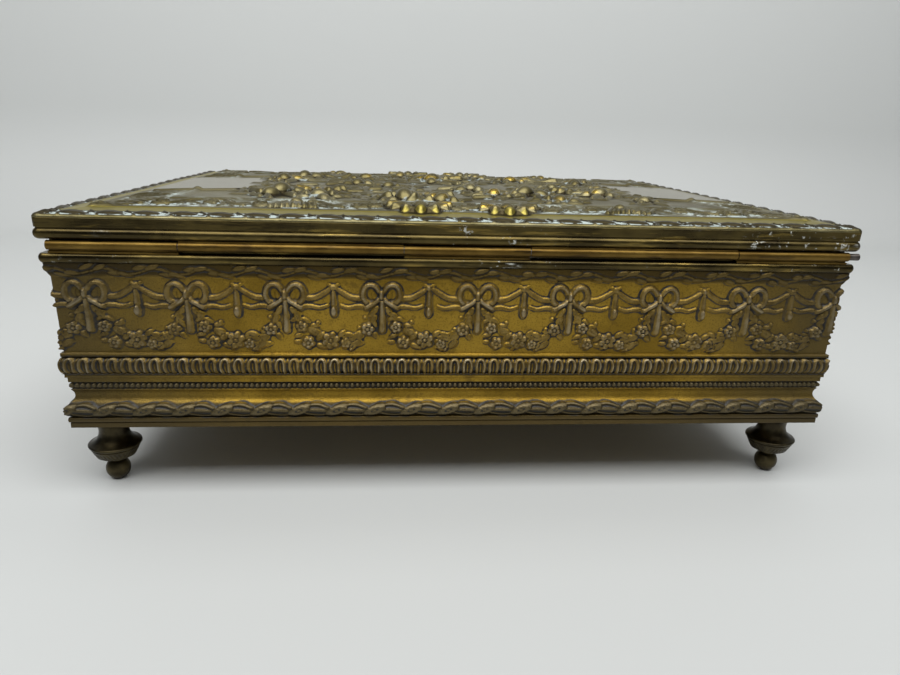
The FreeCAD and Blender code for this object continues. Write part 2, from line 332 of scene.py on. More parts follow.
def trace(start, steps, pitch):
    """Points along an (inset, z) outline: a step of 2 numbers is a line, of 4 an arc through a point."""
    points = [np.array([start])]
    here = np.array(start, float)
    for step in steps:
        end = np.array(step[-2:], float)
        if len(step) == 2:
            n = max(1, round(np.hypot(*(end - here)) / pitch))
            t = np.linspace(0, 1, n + 1)[1:, None]
            points.append(here + (end - here) * t)
        else:
            a, m, b = complex(*here), complex(*step[:2]), complex(*end)
            w = (b - a) / (m - a)
            centre = (b - a) * (w - abs(w) ** 2) / (2j * w.imag) / w + a
            radius = abs(a - centre)
            turn = np.angle((m - centre) / (a - centre)) + np.angle((b - centre) / (m - centre))
            n = max(3, round(abs(turn) * radius / pitch))
            z = centre + (a - centre) * np.exp(1j * turn * np.linspace(0, 1, n + 1)[1:])
            points.append(np.stack([z.real, z.imag], 1))
        here = end
    return np.vstack(points)


def half_sizes(side):
    """Half the length of a side, and its distance from the middle of the box."""
    return (HALF_X, HALF_Y) if side in ("back", "front") else (HALF_Y, HALF_X)


TURN_LENGTH = 0.4        # length that one radian of a corner counts for along the ornament
SIDE_LENGTH = {side: 2 * (half_sizes(side)[0] - CORNER_R + TURN_LENGTH * math.pi / 4) for side in SIDES}
SIDE_MIDDLE = {"right": -SIDE_LENGTH["right"] / 2, "back": SIDE_LENGTH["back"] / 2,
               "left": SIDE_LENGTH["back"] + SIDE_LENGTH["left"] / 2,
               "front": SIDE_LENGTH["back"] + SIDE_LENGTH["left"] + SIDE_LENGTH["front"] / 2}
RING_START = -SIDE_LENGTH["right"]
RING_END = SIDE_LENGTH["back"] + SIDE_LENGTH["left"] + SIDE_LENGTH["front"]


def side_columns(side, pitch):
    """Columns of a side from mitre to mitre: place on the straight, angle round the corner, place on the ring.
    The ring runs round the whole case and grows to the right as each side is seen from outside."""
    straight = half_sizes(side)[0] - CORNER_R
    n = max(2, round(2 * straight / pitch))
    u = np.linspace(-straight, straight, n + 1)
    turns = np.linspace(0, math.pi / 4, 5)[1:]
    angle = np.concatenate([-turns[::-1], np.zeros(len(u)), turns])
    u = np.concatenate([np.full(len(turns), -straight), u, np.full(len(turns), straight)])
    return u, angle, SIDE_MIDDLE[side] - u - TURN_LENGTH * angle


def side_points(side, u, angle, reach, z):
    """Points at a distance out from the lid's outline, on one side and round half of its corners."""
    half, distance = half_sizes(side)
    straight = half - CORNER_R
    radius = np.maximum(CORNER_R + reach, CORNER_MIN)
    shift = CORNER_R + reach - radius
    x = u * (straight + shift) / straight + radius * np.sin(angle)
    y = distance - CORNER_R + shift + radius * np.cos(angle)
    turn = math.radians(SIDES[side])
    c, s = math.cos(turn), math.sin(turn)
    return np.stack([c * x - s * y, s * x + c * y, z], -1)


def sweep(name, side, outer, inner, pitch, relief, attributes=None):
    """Closed strip along one side: outer is its relief face, inner the few points that close it behind."""
    u, angle, place = side_columns(side, pitch)
    cols = len(place)
    inset = np.broadcast_to(outer[:, :1], (len(outer), cols))
    z = np.broadcast_to(outer[:, 1:], (len(outer), cols))
    ring = np.broadcast_to(place, (len(outer), cols))
    reach = np.vstack([relief(ring, z) - inset, np.broadcast_to(-inner[:, :1], (len(inner), cols))])
    z = np.vstack([z, np.broadcast_to(inner[:, 1:], (len(inner), cols))])
    rows = len(reach)
    verts = side_points(side, u, angle, reach, z)
    faces = [grid_faces(rows, cols, wrap_rows=True, flip=True),
             [np.arange(rows) * cols], [(np.arange(rows) * cols + cols - 1)[::-1]]]
    values = {}
    for key, field in (attributes or {}).items():
        front = field(ring[:len(outer)], z[:len(outer)])
        values[key] = np.vstack([front, np.zeros((len(inner), cols))])
    return new_mesh(name, verts.reshape(-1, 3), faces, values)


# =============================================================== ornament of the case

# leaves of the garland between two bows: place from the knot, direction, length, width
GARLAND_LEAVES = (
    (-0.9, -3.2, 236, 3.4, 1.7), (-1.7, -4.6, 222, 2.6, 1.4), (-1.9, -5.6, 243, 3.4, 1.8),
    (-2.6, -7.4, 300, 2.4, 1.3), (-2.9, -10.9, -42, 2.6, 1.4), (-4.8, -11.2, 160, 2.6, 1.3),
    (-5.0, -11.4, 205, 4.2, 2.3),
    (-5.6, -13.2, 225, 3.4, 2.0), (-7.4, -12.6, 182, 4.0, 2.1), (-8.0, -14.0, 200, 3.4, 1.9),
    (-8.0, -11.8, 160, 3.0, 1.5),
    (1.0, -3.4, -50, 3.6, 1.8), (2.2, -4.8, -20, 2.6, 1.3), (2.4, -5.0, -58, 3.6, 2.1), (3.4, -6.6, 208, 2.2, 1.2),
    (4.2, -6.6, -28, 2.6, 1.3), (6.4, -8.8, 8, 2.6, 1.3), (6.2, -9.6, -32, 4.6, 2.5), (4.4, -11.2, 205, 2.6, 1.3),
    (8.2, -13.0, 38, 3.2, 1.7), (8.4, -14.4, -12, 3.4, 1.5), (3.9, -13.6, 178, 2.2, 1.2),
    (14.6, -12.2, 40, 3.0, 1.6), (15.2, -13.6, 12, 3.6, 1.9), (15.0, -15.0, -5, 3.0, 1.4),
    (17.4, -13.4, 40, 3.6, 2.0), (18.6, -14.2, 8, 3.6, 1.9), (19.6, -12.8, 48, 3.2, 1.9))
# its berries (place, radius) and flowers (place, radius, petals)
GARLAND_BERRIES = ((-4.6, -6.4, 0.5), (8.6, -7.8, 0.5), (10.0, -11.4, 0.55), (11.2, -15.4, 0.5),
                   (-9.8, -15.2, 0.55), (16.6, -15.4, 0.5), (-6.3, -9.6, 0.45), (5.4, -7.4, 0.42))
GARLAND_FLOWERS = ((-4.0, -9.9, 1.95, 5), (4.2, -9.2, 1.85, 5), (6.1, -13.9, 1.9, 5), (-10.4, -14.2, 1.6, 5),
                   (17.9, -14.9, 1.5, 5))


def bow(c, x, z, r):
    """One bow with its tail, half swags, tassel to its right and the garland hung to the next bow."""

    def at(px, pz, jitter=0.0):
        return x + px + r.uniform(-jitter, jitter), z + pz + r.uniform(-jitter, jitter)

    def along(points, half, height, **options):
        c.curl([(x + px, z + pz) for px, pz in points], half, height, **options)

    for px, pz, angle, length, width in GARLAND_LEAVES:
        px, pz = at(px, pz, 0.22)
        c.leaf(px, pz, angle + r.uniform(-9, 9), length * r.uniform(0.9, 1.1), width, r.uniform(0.66, 0.86))
    for px, pz, size in GARLAND_BERRIES:
        px, pz = at(px, pz, 0.2)
        c.dome(px, pz, size, size, 0.8)
    px, pz = at(12.4, -13.2, 0.15)
    c.open_flower(px, pz, 2.5, 0.95)
    for px, pz, size, petals in GARLAND_FLOWERS:
        px, pz = at(px, pz, 0.15)
        c.rose(px, pz, size * r.uniform(0.95, 1.05), 1.05, petals, r.uniform(0, 6))

    # swags from the loops to the tassel pins, both ways
    for way in (-1, 1):
        along([(way * 5.0, -0.9), (way * 8.2, -0.7), (way * 10.9, 0.7), (way * 12.9, 2.1)],
              (0.78, 0.62), 0.75, rib=0.5, rib_pitch=0.8, lean=0.5 * way)
        along([(way * 4.6, -3.3), (way * 7.0, -3.2), (way * 9.4, -3.6), (way * 11.6, -3.0)],
              (0.66, 0.4), 0.68, rib=0.42, rib_pitch=0.8, lean=-0.5 * way)
    # tassel
    tx = x + BOW_PITCH / 2
    c.band([(tx, z + 1.2), (tx, z - 3.6)], (0.55, 0.8), 0.85, rib=0.25, rib_pitch=0.8, lean=0.8)
    c.dome(tx, z - 4.7, 0.95, 1.75, 1.15, power=0.5)
    c.leaf(tx, z + 2.3, 152, 1.9, 1.0, 0.7)
    c.leaf(tx, z + 2.3, 28, 1.9, 1.0, 0.7)
    c.dome(tx, z + 2.2, 0.95, 0.9, 1.0)
    # loops of the bow, then its folds, tail and knot over them
    for way in (-1, 1):
        c.leaf(x + way * 1.6, z - 1.4, 90 - way * 20, 2.6, 1.4, 0.42)
        along([(way * 0.5, 0.9), (way * 1.7, 2.5), (way * 3.3, 3.0), (way * 4.8, 2.0), (way * 5.2, -0.1),
               (way * 4.4, -1.8), (way * 2.9, -2.7)],
              (0.6, 0.82), 0.92, rib=0.26, rib_pitch=0.75, lean=0.3 * way)
        along([(way * 0.5, -1.0), (way * 1.7, -2.0), (way * 3.2, -2.9), (way * 4.4, -3.6)], (0.6, 0.72), 1.0)
    along([(0.1, -1.6), (0.2, -4.4), (0.25, -7.6), (0.15, -10.2)], (0.66, 1.02), 0.95, rib=0.2, rib_pitch=0.9,
          lean=1.1)
    c.dome(x, z, 0.7, 1.5, 1.15)


def fade_ends(c):
    """The relief dies away where the ring of sides begins and ends."""
    c.h *= soft((c.x - RING_START) / END_FADE) * soft((RING_END - c.x) / END_FADE)
    return c


def wall_relief():
    """Height map of the wall panels round the whole case, from the leaf band to the crown."""
    c = Relief((RING_START - 1, Z_WALL), (RING_END + 1, Z_MOUTH), SIDE_CELL)
    r = np.random.default_rng(11)
    knot_z = Z_CORNICE - 4.5
    first = SIDE_LENGTH["back"] / 2 + BOW_PHASE
    k_low = math.floor((RING_START - first) / BOW_PITCH) - 1
    k_high = math.ceil((RING_END - first) / BOW_PITCH) + 1
    for k in range(k_low, k_high + 1):
        bow(c, first + k * BOW_PITCH + r.uniform(-0.3, 0.3), knot_z + r.uniform(-0.2, 0.2), r)
    # nothing of the frieze runs over its border fillets
    for low, high in ((Z_WALL, Z_FRIEZE), (Z_CORNICE, Z_MOUTH)):
        cells, _, gz = c.window(RING_START - 1, RING_END + 1, low, high)
        c.h[cells] *= np.clip(np.maximum(low - gz, gz - high) + 0.15, 0, 0.15) / 0.15
    # arched leaves over the band between the lower fillets
    height = Z_LEAF_HIGH - Z_LEAF_LOW
    for k in range(int((RING_END - RING_START) / LEAF_PITCH) + 2):
        x = RING_START + k * LEAF_PITCH
        c.leaf(x + LEAF_PITCH / 2, Z_LEAF_HIGH - 0.3, 270, height - 0.7, 1.15, 0.5, veins=1)
        top = Z_LEAF_HIGH - 0.55
        foot, belly = Z_LEAF_LOW + 0.3, Z_LEAF_LOW + 0.55 * height
        arch = smooth_curve([(x - 1.0, foot), (x - 1.12, belly), (x - 0.75, top - 0.4), (x, top),
                             (x + 0.75, top - 0.4), (x + 1.12, belly), (x + 1.0, foot)], 5)
        c.band(arch, (0.44, 0.44), r.uniform(0.78, 0.92))
        c.band([(x, foot), (x, top - 1.3)], (0.34, 0.2), 0.45)
    # running leaves in the hollow of the crown
    wave = 13.3
    middle = (Z_CORNICE + Z_MOUTH) / 2 - 0.2
    for k in range(int((RING_END - RING_START) / wave) + 2):
        x = RING_START + k * wave + r.uniform(-0.4, 0.4)
        stem = [(x + wave * t, middle + 0.75 * math.sin(2 * math.pi * t)) for t in np.linspace(0, 1, 9)]
        c.band(smooth_curve(stem, 4), (0.36, 0.42), 0.5, rib=0.15, rib_pitch=0.9)
        for t, up in ((0.05, 1), (0.3, -1), (0.5, -1), (0.8, 1)):
            lift = 12 if up > 0 else -12
            c.leaf(x + wave * t, middle + 0.55 * up * r.uniform(0.6, 1.2), lift + r.uniform(-10, 10),
                   r.uniform(3.6, 4.6), 1.5, r.uniform(0.5, 0.75), veins=5)
    return fade_ends(c)


# strands between two ribbons of the torus: points from the ribbon's place, half width
TORUS_STRANDS = (([(1.6, 1.3), (5.2, 1.75), (8.8, 0.6)], 0.42), ([(1.6, 0.2), (5.4, 0.05), (9.4, -0.2)], 0.55),
                 ([(1.9, -0.9), (5.6, -1.6), (9.4, -1.2)], 0.36))


def base_relief():
    """Height map of the base moulding: wrapped torus and bead row."""
    c = Relief((RING_START - 1, Z_BASE), (RING_END + 1, Z_WALL), SIDE_CELL)
    r = np.random.default_rng(12)
    for k in range(int((RING_END - RING_START) / BEAD_PITCH) + 1):
        x = RING_START + (k + 0.5) * BEAD_PITCH
        c.dome(x, Z_BEADS + r.uniform(-0.04, 0.04), 0.62, 0.8, r.uniform(0.76, 0.88), power=0.5)
    z = Z_TORUS
    for k in range(-1, int((RING_END - RING_START) / RIBBON_PITCH) + 2):
        x = RING_START + k * RIBBON_PITCH + r.uniform(-0.15, 0.15)
        for points, half in TORUS_STRANDS:
            c.band(smooth_curve([(x + px, z + pz) for px, pz in points], 6), (half, half), 0.46)
        cells, a, b = c.local(x, z, 24, 4.2)
        rho = np.hypot(a / 3.6, b / 1.55)
        hatch = 0.86 + 0.14 * np.cos(2 * math.pi * (0.8 * a + 0.9 * b))
        rings = 0.76 + 0.24 * np.cos(2 * math.pi * 1.9 * rho)
        c.raise_to(cells, 0.85 * soft((1 - rho) / 0.12) * rings * hatch)
    return fade_ends(c)


def hollowness(c, radius_mm):
    """Positive where the surface lies below what is round it, negative on tops."""
    radius = max(1, round(radius_mm / c.step / 2))
    return blur(c.h, radius) - c.h


def finished(c, groove, ground_noise, seed):
    """Softens the map slightly, cuts a little deeper round raised shapes and roughens the ground."""
    c.h = blur(c.h, 1)
    near = np.clip(hollowness(c, 1.1), 0, None)
    c.h -= groove * near
    cell = 0.45 / c.step
    c.h += ground_noise * cloud(c.h.shape, cell, seed) + 2 * ground_noise * cloud(c.h.shape, cell * 9, seed + 1)


def field_of(c, values):
    return lambda x, z: bilinear(values, (x - c.low[0]) / c.step, (z - c.low[1]) / c.step)


def case_pieces():
    """Wall panels and base strips of the four sides."""
    wall = wall_relief()
    finished(wall, 0.5, 0.018, 21)
    wall_hollow = hollowness(wall, 0.9)
    base = base_relief()
    finished(base, 0.35, 0.014, 22)
    base_hollow = hollowness(base, 0.8)
    wall_outer = trace((2.5, Z_WALL), [
        (2.5, Z_LEAF_LOW), (3.1, Z_LEAF_LOW), (2.2, 40.3, 3.1, Z_LEAF_HIGH), (2.25, Z_LEAF_HIGH),
        (2.25, Z_FRIEZE), (3.0, Z_FRIEZE), (2.6, Z_CORNICE), (1.75, 67.5, 1.35, Z_MOUTH - 0.1),
        (1.35, Z_MOUTH)], 0.29)
    wall_inner = np.array([(WALL_INNER, Z_MOUTH), (WALL_INNER, Z_WALL)])
    base_outer = trace((2.4, Z_BASE), [
        (2.4, 23.1), (2.75, 23.25), (2.1, 23.4), (2.0, 24.0), (2.1, 24.65), (2.9, 24.8),
        (1.75, Z_TORUS, 2.9, 29.0), (4.0, 31.3, 3.3, 32.9), (3.7, 33.05), (3.7, 35.15), (3.0, 35.25),
        (3.0, Z_WALL)], 0.25)
    base_inner = np.array([(WALL_INNER, Z_WALL), (WALL_INNER, Z_BASE)])
    strips = (("wall_relief_", "wall_", wall, wall_hollow, wall_outer, wall_inner),
              ("base_relief_", "base_strip_", base, base_hollow, base_outer, base_inner))
    for side in SIDES:
        for name, node, relief, hollow, outer, inner in strips:
            piece = sweep(name + side, side, outer, inner, SIDE_PITCH, relief.sample,
                          {"relief": relief.sample, "hollow": field_of(relief, hollow)})
            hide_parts(node + side)
            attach(piece, "case")
            piece.data.materials.append(case_brass())


def dented(seed, depth):
    """Slow waves and small dents along a plain moulding."""
    waves = cloud((64, 4096), 9, seed)
    dents = np.clip(cloud((64, 4096), 3, seed + 1) - 0.62, 0, 1)

    def height(ring, z):
        x = (ring - RING_START) * 2.5
        y = (z - Z_MOUTH) * 2.2 + 8
        return depth * bilinear(waves, x, y) - 1.6 * depth * bilinear(dents, x, y)

    return height


def rim_pieces():
    """Round bead and lip at the mouth of the case, and the double bead of the lid's rim."""
    mouth_outer = trace((1.3, Z_MOUTH), [(0.6, 70.9, 1.25, 72.15), (3.2, 72.2), (3.2, Z_LIP)], 0.22)
    mouth_inner = np.array([(WALL_INNER, Z_LIP), (WALL_INNER, Z_MOUTH)])
    rim_outer = trace((2.2, Z_LID), [(1.2, Z_LID + 0.05), (0.05, 77.35, 0.75, 78.75), (0.85, 78.95),
                                     (0.45, 79.15), (0.4, Z_RIM_TOP)], 0.2)
    rim_inner = np.array([(WALL_INNER, Z_RIM_TOP), (WALL_INNER, Z_LID)])
    strips = (("mouth_bead_", "mouth_strip_", "case", "case_brass", mouth_outer, mouth_inner, 31),
              ("lid_bead_", "lid_rim_", "lid", "lid_brass", rim_outer, rim_inner, 33))
    for side in SIDES:
        for name, node, body, slot, outer, inner, seed in strips:
            piece = sweep(name + side, side, outer, inner, RIM_PITCH, dented(seed, DENT_DEPTH))
            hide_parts(node + side)
            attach(piece, body)
            piece.data.materials.append(rim_brass())


# =============================================================== lid

ROPE_LOW, ROPE_HIGH = 1.1, 5.2
PLAIN_LOW = 5.7
FLORAL_LOW, FLORAL_HIGH = 12.2, 27.6
PANEL_LINE = 29.4
LID_EDGE = 0.4
# the smooth ends: half width, the ridge beside them, and how far from the middle their ground begins
END_HALF = 31
END_RIDGE = 33.5
END_START = 66
LID_MARGIN = 0.9         # height of the flat margin over the rim
LID_PITCH = 0.45         # spacing of the vertices

# plain surface of the lid: distance in from the outline, height over the flat margin
LID_SLOPE = ((LID_EDGE, -0.6), (0.6, -0.2), (0.85, 0.04), (1.1, 0.02), (1.4, -0.08), (5.0, 0.26), (5.35, 0.6),
             (5.7, 0.58), (6.1, 0.5), (10.5, 0.98), (11.0, 1.42), (11.5, 1.52), (12.2, 1.2), (27.0, 1.85),
             (27.8, 2.35), (28.5, 2.5), (29.3, 2.25), (30.2, 1.75), (45.0, 2.2), (90.0, 2.6))


# scroll of the floral band, from the middle of its repeat
SCROLL = ((-7.0, -4.4), (-3.4, -2.0), (-0.2, 3.8), (3.6, 4.0), (4.6, -0.4), (1.6, -1.6))


def border_relief():
    """Rope border and floral band of a side: x along it, y the distance in. The short sides use its middle."""
    c = Relief((-HALF_X - 1, 0), (HALF_X + 1, PANEL_LINE), 0.16)
    c.groove = 0.3
    r = np.random.default_rng(41)
    middle = (ROPE_LOW + ROPE_HIGH) / 2
    n = int(HALF_X / ROPE_PITCH) + 1
    for k in range(-n, n + 1):
        x = k * ROPE_PITCH + r.uniform(-0.2, 0.2)
        c.curl([(x + 2.6, ROPE_LOW + 0.2), (x + 3.7, middle), (x + 5.6, ROPE_HIGH - 0.3)], (0.4, 0.6), 0.55)
        cells, a, b = c.local(x, middle + 0.15, 14, 4.4)
        rho = np.hypot(a / 3.9, b / 1.9)
        crease = 1 - 0.25 * np.exp(-((b - 0.35) / 0.25) ** 2)
        c.raise_to(cells, 0.9 * np.clip(1 - rho ** 2, 0, 1) ** 0.5 * crease)
    # scrolls and leaves of the floral band
    band = (FLORAL_LOW + FLORAL_HIGH) / 2
    pitch = 14.0
    n = int(HALF_X / pitch) + 1
    for k in range(-n, n + 1):
        x = k * pitch
        up = 1 if k % 2 else -1
        for angle, length in ((18, 7.5), (50, 6.0), (85, 5.0), (150, 6.2), (205, 7.0), (-60, 5.4), (-110, 4.8)):
            c.leaf(x - 3.0, band - 0.8 * up, angle * up + r.uniform(-12, 12), length, 2.2, r.uniform(0.5, 0.85),
                   veins=6)
        c.curl([(x + px, band + py * up) for px, py in SCROLL], (0.8, 0.5), 0.9)
        c.rose(x + 2.2, band + 0.6 * up, 1.7, 1.1, 5, r.uniform(0, 6))
    # a fan on each half, and two shells with leaves beside the middle
    for x in (-49, 49):
        for k in range(-4, 5):
            c.band([(x + 0.5 * k, FLORAL_HIGH - 4), (x + 1.6 * k, FLORAL_LOW + 2.0)], (0.6, 0.8),
                   1.6 - 0.12 * abs(k))
        c.dome(x, FLORAL_HIGH - 5.0, 2.2, 2.0, 1.9)
    for x in (-12.8, 12.8):
        for way in (-1, 1):
            c.leaf(x + 5 * way, band, 90 - 100 * way, 13, 5, 1.3, veins=8)
            c.curl([(x + 9 * way, band + 5), (x + 12 * way, band - 3), (x + 17 * way, band - 1),
                    (x + 15 * way, band + 3)], (0.9, 0.6), 1.1, rib=0.2, rib_pitch=1.2)
        c.shell(x, FLORAL_LOW + 8.5, 270, 12.0, 2.2, ribs=7, spread=88)
        c.dome(x, FLORAL_LOW + 4.0, 2.6, 3.4, 2.6, power=0.5)
    return c


def end_reserve(across):
    """1 where the ends of the lid stay smooth, 0 elsewhere; across is the distance from the middle line."""
    return soft((END_HALF - np.abs(across)) / 5)


def bare_ends(x, y, inset, height):
    """1 on the flat ground at the two ends inside the frame, where the lid is smooth and clean."""
    in_frame = soft((np.abs(x) - END_START) / 8) * soft((inset - PANEL_LINE) / 1.0)
    return in_frame * end_reserve(y) * soft((0.5 - height) / 0.3)


def fruit_group(c, x, y, size, height, r):
    """Sprays of long drooping leaves round a few large fruits."""
    start = r.uniform(0, 360)
    for k in range(7):
        angle = start + 51 * k + r.uniform(-16, 16)
        reach = size * r.uniform(1.9, 2.7)
        heading = math.radians(angle)
        bend = math.radians(angle + r.uniform(-40, 40))
        points = [(x + 0.4 * size * math.cos(heading), y + 0.4 * size * math.sin(heading)),
                  (x + 1.2 * size * math.cos(heading), y + 1.2 * size * math.sin(heading)),
                  (x + reach * math.cos(bend), y + reach * math.sin(bend))]
        c.band(smooth_curve(points, 5), (0.42 * size, 0.12 * size), height * r.uniform(0.32, 0.5), rib=0.12,
               rib_pitch=1.9, lean=0.9)
    for k in range(3):
        c.leaf(x, y, start + 120 * k + r.uniform(-20, 20), size * 1.9, size * 0.9, height * 0.66, veins=5)
    for k, share in ((0, 0.62), (1, 0.52), (2, 0.42)):
        spot = math.radians(start + 115 * k + r.uniform(-20, 20))
        fx, fy = x + 0.95 * size * math.cos(spot), y + 0.95 * size * math.sin(spot)
        c.dome(fx, fy, 1.25 * size * share, 0.85 * size * share, height * r.uniform(0.6, 0.85), math.degrees(spot),
               power=0.5)
    c.dome(x, y, 0.8 * size, 0.62 * size, height, r.uniform(0, 90), power=0.5)


# flower and fruit groups on the lid: x, y, size, height
LID_GROUPS = (
    (57, 42, 5.2, 3.9), (44, 50, 4.0, 2.9), (17, 53, 5.2, 4.0), (5, 54, 4.2, 3.0), (-14, 37, 4.4, 3.2),
    (-26, 31, 5.0, 3.7), (-34, 50, 4.2, 2.8), (-54, 28, 4.8, 3.2), (-64, 46, 3.6, 2.3), (34, 3, 4.2, 2.6),
    (22, 10, 3.8, 2.4), (-8, 17, 4.4, 3.0), (64, -12, 4.8, 3.4), (-42, 2, 4.4, 2.6), (-60, 4, 4.0, 2.4),
    (58, -30, 5.0, 3.4), (44, -47, 4.4, 2.8), (17, -50, 4.8, 3.0), (4, -20, 5.8, 3.9), (-18, -51, 4.6, 2.8),
    (-30, -25, 4.8, 3.2), (-48, -47, 4.4, 2.8), (-58, -24, 4.8, 3.0), (32, -28, 4.4, 2.8))
LID_SHELLS = ((12, 38, 90, 15), (-48, 14, 90, 12), (46, 26, 90, 12), (0, -34, 270, 14), (-44, -34, 250, 11),
              (44, -32, 290, 11))
LID_SCROLLS = (
    ([(8, 4), (20, 20), (32, 22), (38, 12), (33, 5), (28, 10), (31, 14)], (1.5, 0.7)),
    ([(28, 52), (38, 42), (50, 38), (56, 30), (50, 22), (44, 26)], (1.4, 0.7)),
    ([(40, 4), (54, 12), (66, 10), (70, 2)], (1.2, 0.6)),
    ([(62, 52), (70, 40), (70, 28), (64, 20), (60, 26)], (1.2, 0.6)),
    ([(4, 30), (12, 24), (22, 32), (36, 32), (42, 40)], (0.9, 0.5)),
    ([(14, 46), (24, 42), (30, 48), (26, 56), (18, 54)], (0.9, 0.5)))


def centre_relief():
    """High relief inside the frame line: groups of fruit and flowers, shells and scrolls on a flat ground."""
    c = Relief((-HALF_X, -HALF_Y), (HALF_X, HALF_Y), 0.25)
    c.groove = 0.5
    r = np.random.default_rng(43)
    for sx in (-1, 1):
        for sy in (-1, 1):
            for points, half in LID_SCROLLS:
                curve = smooth_curve([(sx * px, sy * py) for px, py in points], 9)
                c.band(curve, half, 1.2)
                for j in range(4, len(curve) - 2, 6):
                    heading = math.degrees(math.atan2(*(curve[j + 1] - curve[j - 1])[::-1]))
                    for way in (-1, 1):
                        c.leaf(curve[j][0], curve[j][1], heading + way * r.uniform(32, 56), r.uniform(6, 9),
                               r.uniform(1.8, 2.6), r.uniform(0.7, 1.1), veins=6)
    for x, y, turn, radius in LID_SHELLS:
        c.shell(x, y, turn, radius, 2.3, ribs=7)
    for x, y, size, height in LID_GROUPS:
        fruit_group(c, x, y, size, height, r)
    # the relief dies away before the frame line, and sooner at the two ends
    gx, gy = np.meshgrid(c.x, c.y)
    inside_x = HALF_X - 39 - np.abs(gx) + 2.5 * np.sin(gy / 5.0)
    inside_y = HALF_Y - PANEL_LINE - 0.6 - np.abs(gy)
    c.h *= soft(inside_x / 4) * soft(inside_y / 1.8)
    return c


def lid_piece():
    """Pressed lid top as one closed sheet, relief on top."""
    x_low, y_low = HALF_X - LID_EDGE, HALF_Y - LID_EDGE
    nx, ny = 2 * round(x_low / LID_PITCH) + 1, 2 * round(y_low / LID_PITCH) + 1
    gx, gy = np.meshgrid(np.linspace(-x_low, x_low, nx), np.linspace(-y_low, y_low, ny))
    # corner squares are pulled into quarter discs, so that the outline is rounded
    r = CORNER_R - LID_EDGE
    a = np.clip(np.abs(gx) - (x_low - r), 0, None)
    b = np.clip(np.abs(gy) - (y_low - r), 0, None)
    both = (a > 0) & (b > 0)
    new_a = a * np.sqrt(1 - b ** 2 / (2 * r * r))
    new_b = b * np.sqrt(1 - a ** 2 / (2 * r * r))
    gx = np.where(both, np.sign(gx) * (x_low - r + new_a), gx)
    gy = np.where(both, np.sign(gy) * (y_low - r + new_b), gy)
    corner = np.hypot(np.clip(np.abs(gx) - (x_low - r), 0, None), np.clip(np.abs(gy) - (y_low - r), 0, None))
    dx, dy = HALF_X - np.abs(gx), HALF_Y - np.abs(gy)
    d = np.where((dx < CORNER_R) & (dy < CORNER_R), CORNER_R - corner, np.minimum(dx, dy))
    border = border_relief()
    centre = centre_relief()
    centre.h = blur(centre.h, 1)
    for c, seed in ((border, 51), (centre, 53)):
        c.h -= 0.3 * np.clip(hollowness(c, 2.0), 0, None)
        c.h += 0.02 * cloud(c.h.shape, 2.5, seed)
    long_side = dy <= dx
    along = np.where(long_side, gx, gy)
    # the short sides carry lower relief, and none in the smooth middle of each end
    end_middle = np.where(long_side, 0.0, end_reserve(gy))
    reserve = end_middle * soft((d - 10.5) / 1.0) * soft((41 - d) / 3)
    share = np.where(long_side | (d < PLAIN_LOW), 1.0, 0.5) * (1 - end_middle * soft((d - ROPE_HIGH) / 0.5))
    height = np.where(d < PANEL_LINE, share * border.sample(along, np.minimum(d, PANEL_LINE)),
                      centre.sample(gx, gy))
    hollow = np.where(d < PANEL_LINE, share * field_of(border, hollowness(border, 2.4))(along, d),
                      field_of(centre, hollowness(centre, 3.0))(gx, gy))
    ridge = np.exp(-((np.abs(gy) - END_RIDGE) / 0.9) ** 2) * soft((HALF_X - 40 - d) / 3) * soft((d - 13) / 1.5)
    height = np.where(long_side, height, np.maximum(height, 0.9 * ridge))
    # a leaf over each mitre of the border
    corner_c = Relief((0, -8), (44, 8), 0.2)
    for x, angle, length, width, rise, veins in ((16.0, 0, 22, 7, 1.0, 8), (17.0, 28, 12, 4.0, 0.8, 4),
                                                 (17.0, -28, 12, 4.0, 0.8, 4), (1.8, 0, 6.5, 3.0, 0.7, 3)):
        corner_c.leaf(x, 0, angle, length, width, rise, veins)
    corner_c.dome(19, 0, 1.5, 1.5, 1.2)
    along_mitre = (dx + dy) / math.sqrt(2)
    height = np.maximum(height, corner_c.sample(along_mitre, (dx - dy) / math.sqrt(2))
                        * (along_mitre < 39) * (d > 0.9))
    warp = 0.12 * cloud(gx.shape, 70, 57) + 0.05 * cloud(gx.shape, 22, 58)
    edge_free = soft(d / 3)
    plain_top = np.interp(d, *zip(*LID_SLOPE))
    plain_top = plain_top + reserve * soft((d - 12) / 2) * (1.5 + 0.7 * soft((d - 12) / 40) - plain_top)
    top = Z_RIM_TOP + LID_MARGIN + plain_top + height * soft((d - 0.8) / 0.8) + warp * edge_free
    verts = np.stack([gx, gy, top], 2).reshape(-1, 3)
    faces = [grid_faces(ny, nx)]
    ring = grid_border(ny, nx)
    # skirt from the edge down to the rim, then one flat underside
    low = verts[ring].copy()
    low[:, 2] = Z_RIM_TOP + 0.02
    n = len(ring)
    bottom = len(verts) + np.arange(n)
    nxt = np.roll(np.arange(n), -1)
    faces.append(np.stack([ring, bottom, bottom[nxt], ring[nxt]], 1))
    faces.append([bottom[::-1]])
    verts = np.vstack([verts, low])
    zero = np.zeros(n)
    values = {"relief": np.concatenate([height.ravel(), zero]), "hollow": np.concatenate([hollow.ravel(), zero]),
              "inset": np.concatenate([d.ravel(), zero]),
              "reserve": np.concatenate([np.maximum(reserve, bare_ends(gx, gy, d, height)).ravel(), zero])}
    piece = new_mesh("lid_relief", verts, faces, values)
    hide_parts("lid_panel")
    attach(piece, "lid")
    piece.data.materials.append(lid_brass())


# =============================================================== feet

